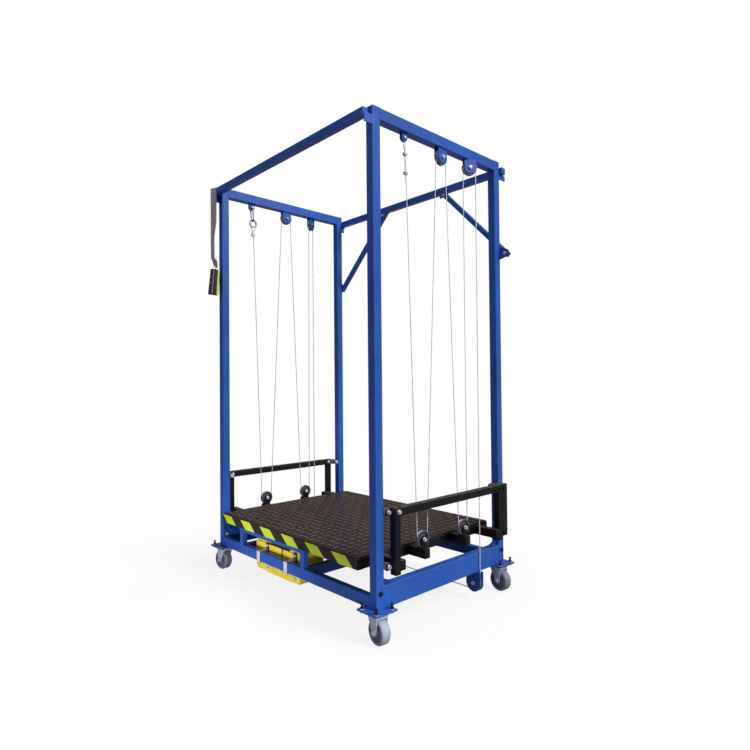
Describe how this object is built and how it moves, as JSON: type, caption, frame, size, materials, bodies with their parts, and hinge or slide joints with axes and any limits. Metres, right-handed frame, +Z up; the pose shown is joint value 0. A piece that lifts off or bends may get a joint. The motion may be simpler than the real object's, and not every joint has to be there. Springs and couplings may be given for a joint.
{
  "type": "portal frame platform lift",
  "caption": "Portable portal-frame platform lift on swivel casters: wire ropes reeved over sheaves raise a guided platform between the posts, driven by an electric hoist on the base.",
  "frame": {"origin": "on the floor under the middle of the post grid, platform at its lowest position", "axes": "+Z up, -Y towards the front (open loading side with the hand control), +X to the right"},
  "size_m": [1.6712, 1.17, 2.583],
  "materials": {
    "blue_paint": "gloss",
    "black_paint": "satin",
    "yellow_case": "painted gloss",
    "zinc_steel": "satin",
    "wire_rope": "satin",
    "sheave_steel": "satin",
    "roller_nylon": "matte",
    "mat_rubber": "matte",
    "wheel_grey": "matte",
    "webbing": "woven",
    "control_plastic": "matte",
    "button_plastic": "gloss"
  },
  "bodies": {
    "frame": {"front_left_post": "blue_paint", "front_right_post": "blue_paint", "rear_left_post": "blue_paint", "rear_right_post": "blue_paint", "left_top_beam": "blue_paint", "left_base_beam": "blue_paint", "right_top_beam": "blue_paint", "right_base_beam": "blue_paint", "front_top_beam": "blue_paint", "front_base_beam": "blue_paint", "rear_top_beam": "blue_paint", "rear_base_beam": "blue_paint", "knee_braces": "blue_paint", "frame_plates": "blue_paint", "frame_hardware": "zinc_steel", "winch_cradle": "blue_paint", "winch_case": "yellow_case", "hoist_ropes": "wire_rope", "rope_falls": "wire_rope", "anchor_falls": "wire_rope", "pendant_strap": "webbing", "pendant_case": "control_plastic"},
    "platform": {"deck_frame": "black_paint", "deck_mat": "mat_rubber", "left_side_frame": "black_paint", "right_side_frame": "black_paint", "platform_blocks": "black_paint", "platform_bolts": "zinc_steel", "platform_rope_bends": "wire_rope"},
    "left_front_top_sheave": {"left_front_top_sheave": "sheave_steel"},
    "left_rear_top_sheave": {"left_rear_top_sheave": "sheave_steel"},
    "left_front_platform_sheave": {"left_front_platform_sheave": "sheave_steel"},
    "left_rear_platform_sheave": {"left_rear_platform_sheave": "sheave_steel"},
    "left_base_sheave": {"left_base_sheave": "sheave_steel"},
    "left_lead_sheave": {"left_lead_sheave": "sheave_steel"},
    "left_front_upper_roller": {"left_front_upper_roller": "roller_nylon"},
    "left_rear_upper_roller": {"left_rear_upper_roller": "roller_nylon"},
    "left_front_lower_roller": {"left_front_lower_roller": "roller_nylon"},
    "left_rear_lower_roller": {"left_rear_lower_roller": "roller_nylon"},
    "right_front_top_sheave": {"right_front_top_sheave": "sheave_steel"},
    "right_rear_top_sheave": {"right_rear_top_sheave": "sheave_steel"},
    "right_front_platform_sheave": {"right_front_platform_sheave": "sheave_steel"},
    "right_rear_platform_sheave": {"right_rear_platform_sheave": "sheave_steel"},
    "right_base_sheave": {"right_base_sheave": "sheave_steel"},
    "right_lead_sheave": {"right_lead_sheave": "sheave_steel"},
    "right_front_upper_roller": {"right_front_upper_roller": "roller_nylon"},
    "right_rear_upper_roller": {"right_rear_upper_roller": "roller_nylon"},
    "right_front_lower_roller": {"right_front_lower_roller": "roller_nylon"},
    "right_rear_lower_roller": {"right_rear_lower_roller": "roller_nylon"},
    "winch_drum": {"winch_drum": "zinc_steel"},
    "front_left_fork": {"front_left_fork": "zinc_steel"},
    "front_left_wheel": {"front_left_wheel": "wheel_grey"},
    "front_right_fork": {"front_right_fork": "zinc_steel"},
    "front_right_wheel": {"front_right_wheel": "wheel_grey"},
    "rear_left_fork": {"rear_left_fork": "zinc_steel"},
    "rear_left_wheel": {"rear_left_wheel": "wheel_grey"},
    "rear_right_fork": {"rear_right_fork": "zinc_steel"},
    "rear_right_wheel": {"rear_right_wheel": "wheel_grey"},
    "up_button": {"up_button": "button_plastic"},
    "down_button": {"down_button": "button_plastic"}
  },
  "joints": [
    {"name": "platform_lift", "type": "slide", "parent": "frame", "child": "platform", "axis": [0, 0, 1], "range_m": [0, 1.6022], "deforming": ["rope_falls", "anchor_falls"]},
    {"name": "left_front_top_spin", "type": "hinge", "parent": "frame", "child": "left_front_top_sheave", "pos_m": [-0.751, 0.005, 2.478], "axis": [1, 0, 0], "range_deg": [-4832.5, 0]},
    {"name": "left_rear_top_spin", "type": "hinge", "parent": "frame", "child": "left_rear_top_sheave", "pos_m": [-0.764, 0.243, 2.478], "axis": [0.866, 0.5, 0], "range_deg": [-9664.1, 0]},
    {"name": "left_front_platform_spin", "type": "hinge", "parent": "platform", "child": "left_front_platform_sheave", "pos_m": [-0.751, -0.175, 0.433], "axis": [1, 0, 0], "range_deg": [0, 2416.8]},
    {"name": "left_rear_platform_spin", "type": "hinge", "parent": "platform", "child": "left_rear_platform_sheave", "pos_m": [-0.751, 0.165, 0.433], "axis": [1, 0, 0], "range_deg": [0, 7248.3]},
    {"name": "left_base_spin", "type": "hinge", "parent": "frame", "child": "left_base_sheave", "pos_m": [-0.745, 0.27591, 0.095], "axis": [0, 1, 0], "range_deg": [-9664.1, 0]},
    {"name": "left_lead_spin", "type": "hinge", "parent": "frame", "child": "left_lead_sheave", "pos_m": [-0.238, 0.23791, 0.057], "axis": [0, 0, 1], "range_deg": [-9664.1, 0]},
    {"name": "left_front_upper_roller_spin", "type": "hinge", "parent": "platform", "child": "left_front_upper_roller", "pos_m": [-0.751, -0.4577, 0.623], "axis": [1, 0, 0], "range_deg": [0, 5401]},
    {"name": "left_rear_upper_roller_spin", "type": "hinge", "parent": "platform", "child": "left_rear_upper_roller", "pos_m": [-0.751, 0.4577, 0.623], "axis": [1, 0, 0], "range_deg": [-5401, 0]},
    {"name": "left_front_lower_roller_spin", "type": "hinge", "parent": "platform", "child": "left_front_lower_roller", "pos_m": [-0.751, -0.4577, 0.361], "axis": [1, 0, 0], "range_deg": [0, 5401]},
    {"name": "left_rear_lower_roller_spin", "type": "hinge", "parent": "platform", "child": "left_rear_lower_roller", "pos_m": [-0.751, 0.4577, 0.361], "axis": [1, 0, 0], "range_deg": [-5401, 0]},
    {"name": "right_front_top_spin", "type": "hinge", "parent": "frame", "child": "right_front_top_sheave", "pos_m": [0.751, 0.005, 2.478], "axis": [1, 0, 0], "range_deg": [-4832.5, 0]},
    {"name": "right_rear_top_spin", "type": "hinge", "parent": "frame", "child": "right_rear_top_sheave", "pos_m": [0.764, 0.243, 2.478], "axis": [0.866, -0.5, 0], "range_deg": [-9664.1, 0]},
    {"name": "right_front_platform_spin", "type": "hinge", "parent": "platform", "child": "right_front_platform_sheave", "pos_m": [0.751, -0.175, 0.433], "axis": [1, 0, 0], "range_deg": [0, 2416.8]},
    {"name": "right_rear_platform_spin", "type": "hinge", "parent": "platform", "child": "right_rear_platform_sheave", "pos_m": [0.751, 0.165, 0.433], "axis": [1, 0, 0], "range_deg": [0, 7248.3]},
    {"name": "right_base_spin", "type": "hinge", "parent": "frame", "child": "right_base_sheave", "pos_m": [0.745, 0.27591, 0.095], "axis": [0, 1, 0], "range_deg": [0, 9664.1]},
    {"name": "right_lead_spin", "type": "hinge", "parent": "frame", "child": "right_lead_sheave", "pos_m": [-0.082, 0.23791, 0.057], "axis": [0, 0, 1], "range_deg": [0, 9664.1]},
    {"name": "right_front_upper_roller_spin", "type": "hinge", "parent": "platform", "child": "right_front_upper_roller", "pos_m": [0.751, -0.4577, 0.623], "axis": [1, 0, 0], "range_deg": [0, 5401]},
    {"name": "right_rear_upper_roller_spin", "type": "hinge", "parent": "platform", "child": "right_rear_upper_roller", "pos_m": [0.751, 0.4577, 0.623], "axis": [1, 0, 0], "range_deg": [-5401, 0]},
    {"name": "right_front_lower_roller_spin", "type": "hinge", "parent": "platform", "child": "right_front_lower_roller", "pos_m": [0.751, -0.4577, 0.361], "axis": [1, 0, 0], "range_deg": [0, 5401]},
    {"name": "right_rear_lower_roller_spin", "type": "hinge", "parent": "platform", "child": "right_rear_lower_roller", "pos_m": [0.751, 0.4577, 0.361], "axis": [1, 0, 0], "range_deg": [-5401, 0]},
    {"name": "drum_spin", "type": "hinge", "parent": "frame", "child": "winch_drum", "pos_m": [-0.16, -0.37, 0.117], "axis": [1, 0, 0], "range_deg": [-6121, 0]},
    {"name": "front_left_swivel", "type": "hinge", "parent": "frame", "child": "front_left_fork", "pos_m": [-0.75, -0.5, 0.154], "axis": [0, 0, 1], "continuous": true},
    {"name": "front_left_roll", "type": "hinge", "parent": "front_left_fork", "child": "front_left_wheel", "pos_m": [-0.76782, -0.5025, 0.0625], "axis": [-0.1392, 0.9903, 0], "continuous": true},
    {"name": "front_right_swivel", "type": "hinge", "parent": "frame", "child": "front_right_fork", "pos_m": [0.75, -0.5, 0.154], "axis": [0, 0, 1], "continuous": true},
    {"name": "front_right_roll", "type": "hinge", "parent": "front_right_fork", "child": "front_right_wheel", "pos_m": [0.76782, -0.5025, 0.0625], "axis": [0.1392, 0.9903, 0], "continuous": true},
    {"name": "rear_left_swivel", "type": "hinge", "parent": "frame", "child": "rear_left_fork", "pos_m": [-0.75, 0.5, 0.154], "axis": [0, 0, 1], "continuous": true},
    {"name": "rear_left_roll", "type": "hinge", "parent": "rear_left_fork", "child": "rear_left_wheel", "pos_m": [-0.76793, 0.49843, 0.0625], "axis": [-0.0872, 0.9962, 0], "continuous": true},
    {"name": "rear_right_swivel", "type": "hinge", "parent": "frame", "child": "rear_right_fork", "pos_m": [0.75, 0.5, 0.154], "axis": [0, 0, 1], "continuous": true},
    {"name": "rear_right_roll", "type": "hinge", "parent": "rear_right_fork", "child": "rear_right_wheel", "pos_m": [0.76793, 0.49843, 0.0625], "axis": [0.0872, 0.9962, 0], "continuous": true},
    {"name": "up_button_press", "type": "slide", "parent": "frame", "child": "up_button", "axis": [0, 1, 0], "range_m": [0, 0.003], "stiffness_N_per_m": 400},
    {"name": "down_button_press", "type": "slide", "parent": "frame", "child": "down_button", "axis": [0, 1, 0], "range_m": [0, 0.003], "stiffness_N_per_m": 400}
  ],
  "couplings": [
    {"joint": "left_front_top_spin", "follows": "platform_lift", "rad_per_m": -52.632},
    {"joint": "left_rear_top_spin", "follows": "platform_lift", "rad_per_m": -105.26},
    {"joint": "left_front_platform_spin", "follows": "platform_lift", "rad_per_m": 26.316},
    {"joint": "left_rear_platform_spin", "follows": "platform_lift", "rad_per_m": 78.947},
    {"joint": "left_base_spin", "follows": "platform_lift", "rad_per_m": -105.26},
    {"joint": "left_lead_spin", "follows": "platform_lift", "rad_per_m": -105.26},
    {"joint": "left_front_upper_roller_spin", "follows": "platform_lift", "rad_per_m": 58.824},
    {"joint": "left_rear_upper_roller_spin", "follows": "platform_lift", "rad_per_m": -58.824},
    {"joint": "left_front_lower_roller_spin", "follows": "platform_lift", "rad_per_m": 58.824},
    {"joint": "left_rear_lower_roller_spin", "follows": "platform_lift", "rad_per_m": -58.824},
    {"joint": "right_front_top_spin", "follows": "platform_lift", "rad_per_m": -52.632},
    {"joint": "right_rear_top_spin", "follows": "platform_lift", "rad_per_m": -105.26},
    {"joint": "right_front_platform_spin", "follows": "platform_lift", "rad_per_m": 26.316},
    {"joint": "right_rear_platform_spin", "follows": "platform_lift", "rad_per_m": 78.947},
    {"joint": "right_base_spin", "follows": "platform_lift", "rad_per_m": 105.26},
    {"joint": "right_lead_spin", "follows": "platform_lift", "rad_per_m": 105.26},
    {"joint": "right_front_upper_roller_spin", "follows": "platform_lift", "rad_per_m": 58.824},
    {"joint": "right_rear_upper_roller_spin", "follows": "platform_lift", "rad_per_m": -58.824},
    {"joint": "right_front_lower_roller_spin", "follows": "platform_lift", "rad_per_m": 58.824},
    {"joint": "right_rear_lower_roller_spin", "follows": "platform_lift", "rad_per_m": -58.824},
    {"joint": "drum_spin", "follows": "platform_lift", "rad_per_m": -66.667}
  ]
}
